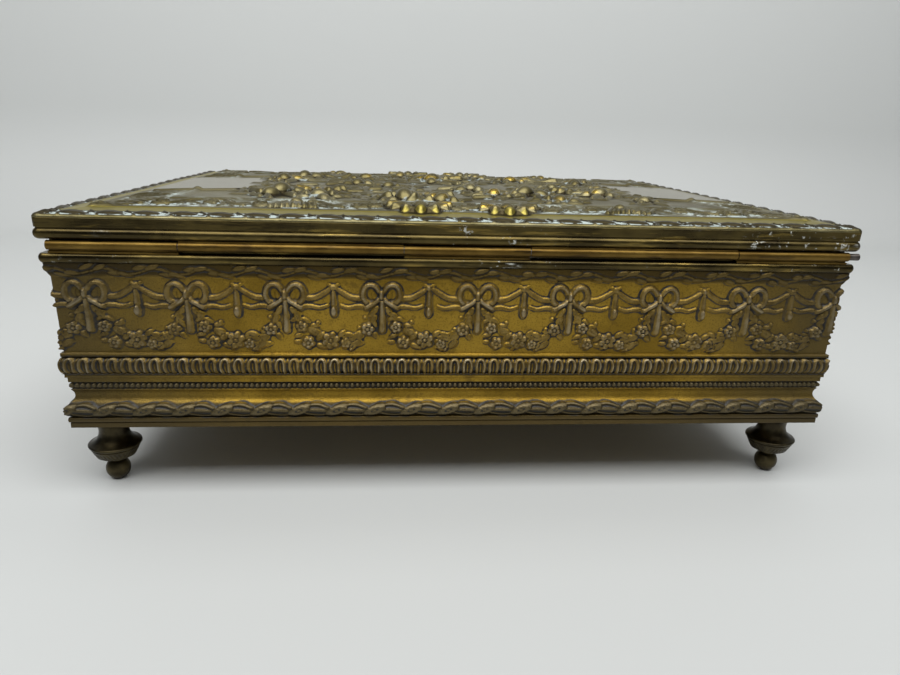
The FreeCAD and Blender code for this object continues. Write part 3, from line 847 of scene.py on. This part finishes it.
def foot_pieces():
    """Turned feet: the outline is revolved, with crossed milled cuts on the cone above the ball."""
    z_top = Z_BASE
    ball_r, flat_r = 3.55, 1.2
    cone_low, cone_high = 8.1, 11.0
    ball_z = math.sqrt(ball_r ** 2 - flat_r ** 2)
    outline = trace((0.0, z_top - 0.3), [
        (4.0, z_top - 0.3), (4.0, z_top), (5.75, z_top), (5.9, z_top - 0.2), (5.9, 20.1), (5.75, 19.85),
        (4.6, 18.2, 4.25, 16.0), (5.3, 13.6, 7.25, 12.35), (7.6, 12.0, 7.4, 11.5), (6.95, 11.35), (6.95, 11.1),
        (7.1, cone_high), (5.6, cone_low), (5.4, 8.0), (2.4, 8.0), (2.2, 7.8), (2.2, 6.3),
        (ball_r, ball_z, flat_r, 0.0), (0.0, 0.0)], 0.2)
    turns = 216
    phi = np.linspace(0, 2 * math.pi, turns + 1)
    radius = outline[:, 0][:, None]
    z = outline[:, 1][:, None]
    on_cone = soft((z - cone_low - 0.1) / 0.3) * soft((cone_high - 0.1 - z) / 0.3) * (radius > 5.5)
    cuts = 36
    slant = (z - cone_low) / (cone_high - cone_low) * math.pi
    around = 0.5 * cuts * phi[None, :]
    mill = 0.14 * (np.abs(np.sin(around + slant)) + np.abs(np.sin(around - slant)))
    wear = 0.03 * cloud((len(outline), turns + 1), 11, 61) * (radius > 1)
    r = radius + on_cone * (mill - 0.2) + np.where((z > 0.4) & (z < z_top - 0.4), wear, 0)
    r[:, -1] = r[:, 0]
    for end in ("front", "back"):
        for side in ("left", "right"):
            node = "foot_%s_%s" % (end, side)
            low, high = node_box(node)
            cx, cy = (low[0] + high[0]) / 2, (low[1] + high[1]) / 2
            turn = rng.uniform(0, 6)
            verts = np.stack([cx + r * np.cos(phi + turn), cy + r * np.sin(phi + turn),
                              np.broadcast_to(z, r.shape)], 2)[:, :-1]
            rows, cols = verts.shape[:2]
            i, j = np.meshgrid(np.arange(1, rows - 2), np.arange(cols), indexing="ij")
            i, j = i.ravel(), j.ravel()
            k = (j + 1) % cols
            quads = np.stack([i * cols + j, (i + 1) * cols + j, (i + 1) * cols + k, i * cols + k], 1)
            ends = [(cols + np.arange(cols))[None, :], ((rows - 2) * cols + np.arange(cols))[None, ::-1]]
            used = verts.reshape(-1, 3)[cols:(rows - 1) * cols]
            piece = new_mesh("turned_" + node, used, [quads - cols, ends[0] - cols, ends[1] - cols])
            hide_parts(node)
            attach(piece, "case")
            piece.data.materials.append(foot_bronze())


# =============================================================== lining

def padded_panel(name, node, body, face, buttons, puff, step=2.2):
    """Closed velvet pad filling a slab: its free face is crowned, sunk at its buttons and rolled at the edge."""
    low, high = node_box(node)
    axis = "xyz".index(face[1])
    way = 1 if face[0] == "+" else -1
    u_axis, v_axis = [k for k in range(3) if k != axis]
    nu = max(8, round((high[u_axis] - low[u_axis]) / step))
    nv = max(6, round((high[v_axis] - low[v_axis]) / step))
    s, t = np.meshgrid(np.linspace(0, 1, nu + 1), np.linspace(0, 1, nv + 1))
    u = low[u_axis] + s * (high[u_axis] - low[u_axis])
    v = low[v_axis] + t * (high[v_axis] - low[v_axis])
    edge = np.minimum(np.minimum(u - low[u_axis], high[u_axis] - u), np.minimum(v - low[v_axis], high[v_axis] - v))
    thick = high[axis] - low[axis]
    crown = np.sqrt(np.clip(1 - np.clip(1 - edge / (puff * 2.2), 0, 1) ** 2, 0, 1))
    height = thick * (0.35 + 0.62 * crown)
    for bu, bv in buttons:
        rho = np.hypot(u - bu, v - bv)
        height = height - 0.55 * thick * np.exp(-(rho / 3.2) ** 2) * crown
    height = height + 0.03 * thick * cloud(u.shape, 7, len(name))
    height = np.clip(height, 0.2 * thick, thick)
    wall = low[axis] if way > 0 else high[axis]
    back = np.empty(u.shape + (3,))
    back[..., u_axis] = u
    back[..., v_axis] = v
    back[..., axis] = wall
    front = back.copy()
    front[..., axis] = wall + way * height
    rows, cols = u.shape
    verts = np.vstack([front.reshape(-1, 3), back.reshape(-1, 3)])
    flip = (way < 0) != (axis == 1)
    faces = [grid_faces(rows, cols, flip=flip), grid_faces(rows, cols, flip=not flip) + rows * cols]
    ring = grid_border(rows, cols)
    under = ring + rows * cols
    side = np.stack([ring, under, np.roll(under, -1), np.roll(ring, -1)], 1)
    faces.append(side[:, ::-1] if flip else side)
    piece = new_mesh(name, verts, faces)
    smooth = piece.modifiers.new("round", "SUBSURF")
    smooth.levels = 1
    smooth.render_levels = 1
    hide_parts(node)
    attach(piece, body)
    piece.data.materials.append(velvet())
    return piece


def lining_pieces():
    low, high = node_box("lining_floor")
    xs = np.linspace(low[0], high[0], 6)[1:-1]
    ys = np.linspace(low[1], high[1], 5)[1:-1]
    grid = [(x, y) for x in xs for y in ys]
    padded_panel("floor_pad", "lining_floor", "case", "+z", [], 4.5)
    padded_panel("lid_pad", "lid_lining", "lid", "-z", grid, 2.0)
    for side, face in (("back", "-y"), ("front", "+y"), ("left", "+x"), ("right", "-x")):
        padded_panel("wall_pad_" + side, "lining_" + side, "case", face, [], 1.0)


# =============================================================== materials

def finish(name):
    """Turns the function below it, which fills in a node builder, into one that gives its material, made once."""
    def wrap(fill):
        made = []

        def give():
            if not made:
                made.append(bpy.data.materials.new(name + "_finish"))
                made[0].use_nodes = True
                made[0].node_tree.nodes.clear()
                fill(Builder(made[0].node_tree))
            return made[0]

        return give
    return wrap


class Builder:
    """Short ways to add and join shader nodes."""

    def __init__(self, tree):
        self.tree = tree
        self.shader = tree.nodes.new("ShaderNodeBsdfPrincipled")
        out = tree.nodes.new("ShaderNodeOutputMaterial")
        tree.links.new(self.shader.outputs[0], out.inputs[0])
        self.place = tree.nodes.new("ShaderNodeTexCoord").outputs["Object"]

    def add(self, kind, **inputs):
        node = self.tree.nodes.new(kind)
        for key, value in inputs.items():
            self.give(node.inputs[key.replace("_", " ")], value)
        return node

    def give(self, socket, value):
        if isinstance(value, bpy.types.NodeSocket):
            self.tree.links.new(value, socket)
        else:
            socket.default_value = (*value, 1.0) if isinstance(value, tuple) else value

    def set(self, **inputs):
        for key, value in inputs.items():
            self.give(self.shader.inputs[key.replace("_", " ")], value)

    def noise(self, scale, detail=3.0, rough=0.55, stretch=None):
        vector = self.place
        if stretch is not None:
            mapping = self.add("ShaderNodeMapping", Vector=self.place)
            mapping.inputs["Scale"].default_value = stretch
            vector = mapping.outputs[0]
        return self.add("ShaderNodeTexNoise", Vector=vector, Scale=scale, Detail=detail,
                        Roughness=rough).outputs["Fac"]

    def attribute(self, name):
        node = self.tree.nodes.new("ShaderNodeAttribute")
        node.attribute_name = name
        return node.outputs["Fac"]

    def math(self, operation, a, b=0.0, clamp=False):
        node = self.tree.nodes.new("ShaderNodeMath")
        node.operation = operation
        node.use_clamp = clamp
        self.give(node.inputs[0], a)
        self.give(node.inputs[1], b)
        return node.outputs[0]

    def times(self, a, b):
        return self.math("MULTIPLY", a, b)

    def ramp(self, value, low, high, to_low=0.0, to_high=1.0):
        """Value between low and high turned smoothly into to_low to to_high."""
        node = self.tree.nodes.new("ShaderNodeMapRange")
        node.interpolation_type = "SMOOTHSTEP"
        self.give(node.inputs["Value"], value)
        for key, number in (("From Min", low), ("From Max", high), ("To Min", to_low), ("To Max", to_high)):
            node.inputs[key].default_value = number
        return node.outputs[0]

    def within(self, value, *edges):
        """1 between the first and the last pair of edges, falling to 0 over each pair."""
        return self.times(self.ramp(value, *edges[:2]), self.ramp(value, *edges[2:]))

    def patches(self, scale, dark, light, detail=4):
        """Noise of the given scale, and two colours mixed by it."""
        noise = self.noise(scale, detail, 0.6)
        return noise, self.mix(self.ramp(noise, 0.35, 0.7), dark, light)

    def mix(self, factor, a, b):
        node = self.tree.nodes.new("ShaderNodeMix")
        node.data_type = "RGBA"
        self.give(node.inputs[0], factor)
        self.give(node.inputs[6], a)
        self.give(node.inputs[7], b)
        return node.outputs[2]

    def axis(self, index):
        split = self.add("ShaderNodeSeparateXYZ", Vector=self.place)
        return split.outputs[index]

    def bump(self, height, strength, distance, normal=None):
        node = self.add("ShaderNodeBump", Strength=strength, Distance=distance, Height=height)
        if normal is not None:
            self.give(node.inputs["Normal"], normal)
        return node.outputs[0]


@finish("case_brass")
def case_brass(n):
    """Gilt brass of the case: ochre ground, grey worn tops; near black in the hollows from patina and painted
    shade, painted shadow with some grime under the mouth bead, painted highlights and shade on the torus, beads and
    crown, painted shade at the ends and under the torus.
    """
    patches = n.noise(38, 4, 0.6)
    grain = n.noise(2300, 2, 0.6)
    gold = n.mix(n.ramp(patches, 0.35, 0.65), (0.215, 0.130, 0.011), (0.355, 0.222, 0.025))
    gold = n.mix(n.ramp(grain, 0.48, 0.72, 0.0, 0.6), gold, (0.12, 0.072, 0.010))
    # darker and greyer towards both ends of the case: painted shade where less light falls
    end = n.ramp(n.math("ABSOLUTE", n.axis(0)), 0.056, 0.108)
    end_shade = n.times(end, n.ramp(n.noise(60, 3), 0.3, 0.6, 0.55, 1.0))
    gold = n.mix(n.times(end_shade, 0.7), gold, (0.085, 0.064, 0.025))
    gold = n.mix(n.ramp(n.noise(150, 4, 0.7), 0.56, 0.70, 0.0, 0.55), gold, (0.10, 0.058, 0.010))
    relief = n.attribute("relief")
    raised = n.ramp(relief, 0.2, 0.5)
    brown = n.mix(n.ramp(n.noise(420, 3), 0.35, 0.65), (0.13, 0.085, 0.022), (0.24, 0.165, 0.05))
    gold = n.mix(n.times(raised, 0.85), gold, brown)
    top = n.ramp(relief, 0.55, 0.95)
    worn = n.times(top, n.ramp(n.noise(240, 3), 0.38, 0.6, 0.15, 1.0))
    height = n.axis(2)
    worn = n.times(worn, n.ramp(height, 0.0435, 0.0445, 1.0, 0.62))
    colour = n.mix(worn, gold, (0.36, 0.31, 0.21))
    # torus ribbons and bead row: light raised tops are painted highlight, the near-black ground between them
    # painted shade with some grime
    torus = n.within(height, 0.0246, 0.0250, 0.0292, 0.0287)
    beads = n.within(height, 0.0329, 0.0332, 0.0354, 0.0351)
    banded = n.times(n.math("ADD", torus, beads), n.ramp(worn, 0.0, 1.0, 0.9, 0.6))
    strand_grime_shade_and_highlight = n.mix(n.ramp(relief, 0.18, 0.5), (0.018, 0.014, 0.006), (0.115, 0.092, 0.048))
    colour = n.mix(banded, colour, strand_grime_shade_and_highlight)
    # ground between the arched leaves darkened: painted shade with some grime
    leaves = n.within(height, 0.0372, 0.0376, 0.0437, 0.0433)
    between = n.times(leaves, n.ramp(relief, 0.42, 0.15, 0.0, 0.8))
    colour = n.mix(between, colour, (0.030, 0.020, 0.006))
    # darker below the torus: painted shade under its overhang
    colour = n.mix(n.ramp(height, 0.0252, 0.0245, 0.0, 0.85), colour, (0.075, 0.055, 0.024))
    # ends of the case darkened again: painted shade
    colour = n.mix(n.times(end, 0.4), colour, (0.050, 0.040, 0.020))
    # crown under the mouth bead: near-black ground is painted shadow of the bead with some grime, lighter raised
    # scrolls painted highlight
    crown = n.ramp(height, 0.0655, 0.0668, 0.0, 0.85)
    scroll = n.mix(n.ramp(relief, 0.15, 0.45), (0.020, 0.013, 0.003), (0.105, 0.072, 0.020))
    colour = n.mix(crown, colour, scroll)
    # darker in the hollows: patina and painted shade
    patina_and_shade = n.times(n.ramp(n.attribute("hollow"), 0.02, 0.12), n.ramp(n.noise(330, 2), 0.3, 0.6, 0.5, 1.0))
    colour = n.mix(patina_and_shade, colour, (0.006, 0.0045, 0.002))
    n.set(Base_Color=colour, Metallic=n.ramp(patina_and_shade, 0.1, 0.9, 0.8, 0.1),
          Roughness=n.ramp(worn, 0.0, 1.0, 0.46, 0.33),
          Normal=n.bump(grain, 0.4, 0.0003))


@finish("rim_brass")
def rim_brass(n):
    """Plain mouldings: dark olive brown, golden scratches along them, whitish deposit in spots and smears."""
    patches = n.noise(55, 4, 0.6)
    colour = n.mix(n.ramp(patches, 0.35, 0.68), (0.040, 0.030, 0.012), (0.105, 0.078, 0.026))
    streaks = n.noise(330, 4, 0.65, stretch=(0.16, 0.16, 1.6))
    colour = n.mix(n.ramp(streaks, 0.56, 0.68, 0.0, 0.8), colour, (0.25, 0.175, 0.045))
    colour = n.mix(n.ramp(streaks, 0.44, 0.34, 0.0, 0.7), colour, (0.026, 0.020, 0.010))
    spots = n.ramp(n.noise(420, 3, 0.7), 0.60, 0.70)
    smears = n.ramp(n.noise(260, 4, 0.7, stretch=(0.3, 0.3, 1.5)), 0.60, 0.72)
    pale = n.math("MAXIMUM", spots, smears)
    pale = n.times(pale, n.ramp(n.noise(38, 2), 0.46, 0.60))
    colour = n.mix(pale, colour, (0.42, 0.43, 0.39))
    scratches = n.noise(900, 3, 0.6, stretch=(0.12, 0.12, 1.0))
    n.set(Base_Color=colour, Metallic=n.ramp(pale, 0, 1, 0.95, 0.1), Roughness=n.ramp(patches, 0.3, 0.7, 0.2, 0.38),
          Normal=n.bump(scratches, 0.22, 0.0002))


@finish("lid_brass")
def lid_brass(n):
    """Lid top: grey olive film, gold on the flanks of the high relief (partly gilding, partly painted highlight),
    patina and painted shade in the hollows, pale green-blue deposit in the border, pale grey smooth ends as painted
    reflection.
    """
    relief = n.attribute("relief")
    hollow = n.attribute("hollow")
    inset = n.attribute("inset")
    reserve = n.attribute("reserve")
    patches = n.noise(45, 4, 0.6)
    film = n.mix(n.ramp(patches, 0.35, 0.65), (0.120, 0.100, 0.038), (0.215, 0.190, 0.100))
    plain = n.within(inset, 5.4, 6.0, 11.0, 10.6)
    film = n.mix(n.times(plain, 0.9), film, (0.32, 0.265, 0.055))
    rope = n.within(inset, 1.0, 1.4, 5.4, 5.0)
    film = n.mix(n.times(rope, 0.9), film, (0.055, 0.042, 0.018))
    face = n.add("ShaderNodeSeparateXYZ", Vector=n.tree.nodes.new("ShaderNodeNewGeometry").outputs["Normal"])
    # gold on the steep flanks of the high relief: partly gilding, partly painted highlight
    slope = n.times(n.ramp(face.outputs[2], 0.97, 0.8), n.ramp(relief, 0.9, 1.8))
    gilt_and_highlight = n.times(slope, n.ramp(n.noise(90, 3), 0.47, 0.62))
    gilt_and_highlight = n.times(gilt_and_highlight, n.ramp(inset, 10.0, 14.0))
    colour = n.mix(gilt_and_highlight, film, (0.36, 0.25, 0.040))
    # darker in the hollows: patina and painted shade
    patina_and_shade = n.ramp(hollow, 0.04, 0.35, 0.0, 0.95)
    colour = n.mix(patina_and_shade, colour, (0.030, 0.023, 0.010))
    crust = n.ramp(n.noise(420, 4, 0.7), 0.42, 0.56)
    low = n.times(n.ramp(relief, 0.34, 0.12), crust)
    floral = n.times(n.ramp(inset, 12.0, 13.0), n.ramp(inset, 31.0, 26.0, 0.0, 0.8))
    floral = n.times(floral, n.ramp(n.noise(60, 3), 0.42, 0.58, 0.15, 1.0))
    deposit = n.times(low, n.math("ADD", n.times(rope, 0.95), floral, clamp=True))
    # whitish bloom at the feet of the fruits
    bloom = n.times(n.ramp(hollow, 0.02, 0.10), n.ramp(n.noise(130, 4, 0.7), 0.54, 0.66))
    bloom = n.times(bloom, n.ramp(inset, 27.0, 31.0))
    deposit = n.math("ADD", deposit, n.times(bloom, 0.7), clamp=True)
    clean = n.math("SUBTRACT", 1.0, reserve, clamp=True)
    deposit = n.times(deposit, clean)
    colour = n.mix(deposit, colour, (0.50, 0.58, 0.56))
    # the smooth flats at the ends pale grey: painted reflection of the pale wall at a glancing angle
    colour = n.mix(n.times(reserve, 0.85), colour, (0.46, 0.44, 0.38))
    n.set(Base_Color=colour, Metallic=n.ramp(deposit, 0, 0.8, 0.9, 0.05),
          Roughness=n.math("ADD", n.ramp(gilt_and_highlight, 0, 1, 0.40, 0.2), n.times(deposit, 0.35)),
          Normal=n.bump(n.noise(1500, 3, 0.6), 0.2, 0.0002))


@finish("foot_bronze")
def foot_bronze(n):
    patches, colour = n.patches(160, (0.028, 0.022, 0.012), (0.085, 0.068, 0.032))
    scratches = n.noise(1400, 2, 0.6, stretch=(0.2, 0.2, 1.0))
    n.set(Base_Color=colour, Metallic=0.9, Roughness=n.ramp(patches, 0.3, 0.7, 0.3, 0.5),
          Normal=n.bump(scratches, 0.15, 0.0002))


@finish("hinge_brass")
def hinge_brass(n):
    _, colour = n.patches(90, (0.108, 0.063, 0.012), (0.190, 0.118, 0.025))
    streaks = n.noise(700, 3, 0.6, stretch=(0.15, 1.0, 1.0))
    colour = n.mix(n.ramp(streaks, 0.46, 0.34, 0.0, 0.75), colour, (0.05, 0.030, 0.010))
    n.set(Base_Color=colour, Metallic=0.9, Roughness=n.ramp(streaks, 0.3, 0.7, 0.34, 0.5),
          Normal=n.bump(streaks, 0.25, 0.0002))


@finish("dark_steel")
def dark_steel(n):
    patches, colour = n.patches(300, (0.06, 0.05, 0.045), (0.16, 0.14, 0.125), 3)
    n.set(Base_Color=colour, Metallic=0.9, Roughness=n.ramp(patches, 0.3, 0.7, 0.3, 0.5),
          Normal=n.bump(patches, 0.15, 0.0002))


@finish("plate_brass")
def plate_brass(n):
    rolled = n.noise(500, 3, 0.6, stretch=(0.05, 1.0, 1.0))
    _, colour = n.patches(30, (0.20, 0.14, 0.06), (0.36, 0.27, 0.12))
    n.set(Base_Color=colour, Metallic=0.9, Roughness=n.ramp(rolled, 0.3, 0.7, 0.38, 0.55),
          Normal=n.bump(rolled, 0.2, 0.0002))


@finish("cedar")
def cedar(n):
    grain = n.noise(220, 5, 0.6, stretch=(0.06, 0.06, 1.0))
    rings = n.noise(35, 2, 0.5, stretch=(0.1, 0.1, 1.0))
    colour = n.mix(n.ramp(grain, 0.3, 0.7), (0.30, 0.15, 0.07), (0.47, 0.28, 0.15))
    colour = n.mix(n.ramp(rings, 0.4, 0.6, 0.0, 0.5), colour, (0.25, 0.12, 0.055))
    n.set(Base_Color=colour, Roughness=n.ramp(grain, 0.3, 0.7, 0.5, 0.7), Normal=n.bump(grain, 0.3, 0.0003))


@finish("velvet")
def velvet(n):
    pile = n.noise(1800, 3, 0.7)
    brushed = n.noise(24, 3, 0.6)
    colour = n.mix(n.ramp(brushed, 0.35, 0.65), (0.20, 0.010, 0.020), (0.26, 0.014, 0.026))
    colour = n.mix(n.ramp(pile, 0.4, 0.7, 0.0, 0.5), colour, (0.08, 0.004, 0.008))
    n.set(Base_Color=colour, Roughness=0.85, Sheen_Weight=0.8, Sheen_Roughness=0.35, Sheen_Tint=(1.0, 0.55, 0.6),
          Normal=n.bump(pile, 0.5, 0.0003))


CAD_MATERIALS = {"foot_studs": dark_steel, "foot_washers": dark_steel, "foot_nuts": dark_steel,
                 "base_plate": plate_brass, "board_floor": cedar, "lid_board": cedar,
                 "hinge_knuckles_body": hinge_brass, "hinge_knuckles_lid": hinge_brass, "hinge_pin": dark_steel}


def dress_cad_nodes():
    for side in SIDES:
        CAD_MATERIALS["board_" + side] = cedar
    for node, make in CAD_MATERIALS.items():
        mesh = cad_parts[node].data
        for slot in range(len(mesh.materials)):
            mesh.materials[slot] = make()


# =============================================================== stage

STAGE_COLOUR = (0.58, 0.595, 0.585)


@finish("stage_white")
def stage_white(n):
    tint = n.mix(n.noise(3, 3, 0.5), tuple(0.97 * v for v in STAGE_COLOUR), STAGE_COLOUR)
    n.set(Base_Color=tint, Roughness=0.6)


def stage():
    """Pale table with a pale wall behind it, joined by a wide curve."""
    width, near, far, rise, bend, below = 1400, 900, -520, 700, 120, 0.02
    curve = [(near, 0.0), (far + bend, 0.0)]
    curve += [(far + bend - bend * math.sin(t), bend - bend * math.cos(t))
              for t in np.linspace(0.1, math.pi / 2, 12)]
    curve.append((far, rise))
    rows = np.array([[(x, y, z - below) for x in (-width, width)] for y, z in curve])
    floor = new_mesh("studio_floor", rows.reshape(-1, 3), [grid_faces(len(curve), 2)])
    floor.data.materials.append(stage_white())


def area_light(name, place, target, size, power):
    light = bpy.data.lights.new(name, "AREA")
    light.shape = "RECTANGLE"
    light.size, light.size_y = size
    light.energy = power
    lamp = bpy.data.objects.new(name, light)
    bpy.context.scene.collection.objects.link(lamp)
    start, end = np.array(place), np.array(target)
    forward = (end - start) / np.linalg.norm(end - start)
    right = np.cross(forward, (0, 0, 1) if abs(forward[2]) < 0.99 else (0, 1, 0))
    right /= np.linalg.norm(right)
    up = np.cross(right, forward)
    basis = Matrix([list(row) for row in np.stack([right, up, -forward], 1)]).to_4x4()
    basis.translation = start * MM
    lamp.matrix_world = basis


# place and target in millimetres, size in metres, power in watts
LIGHTS = (("overhead", (0, 470, 1010), (0, 40, 60), (1.4, 0.7), 15.0),
          ("room", (260, 700, 900), (0, 60, 60), (0.9, 0.4), 0.8),
          ("wall_wash", (0, -150, 700), (0, -520, 250), (1.4, 0.4), 1.7))
WORLD_COLOUR = (0.62, 0.64, 0.66)
WORLD_STRENGTH = 0.17


def lights():
    for values in LIGHTS:
        area_light(*values)
    world = bpy.data.worlds.new("soft_room")
    bpy.context.scene.world = world
    world.use_nodes = True
    back = world.node_tree.nodes["Background"]
    back.inputs["Color"].default_value = (*WORLD_COLOUR, 1.0)
    back.inputs["Strength"].default_value = WORLD_STRENGTH


SENSOR_WIDTH = 36.0
LENS = 27.26
VIEW_PLACE = (21.3, 273.8, 106.1)
VIEW_PITCH, VIEW_YAW, VIEW_ROLL = (math.radians(angle) for angle in (-16.87, 174.75, 1.78))


def camera():
    """Close view from behind and above: yaw about the vertical, then pitch, then roll about the line of sight."""
    data = bpy.data.cameras.new("view")
    data.sensor_width = SENSOR_WIDTH
    data.lens = LENS
    data.clip_start = 0.01
    view = bpy.data.objects.new("view", data)
    bpy.context.scene.collection.objects.link(view)
    basis = (Matrix.Rotation(VIEW_YAW, 4, "Z") @ Matrix.Rotation(math.pi / 2 + VIEW_PITCH, 4, "X")
             @ Matrix.Rotation(VIEW_ROLL, 4, "Z"))
    basis.translation = [v * MM for v in VIEW_PLACE]
    view.matrix_world = basis
    bpy.context.scene.camera = view


camera()
lights()
stage()
case_pieces()
rim_pieces()
lid_piece()
foot_pieces()
lining_pieces()
dress_cad_nodes()
bpy.context.scene.view_settings.view_transform = "Standard"
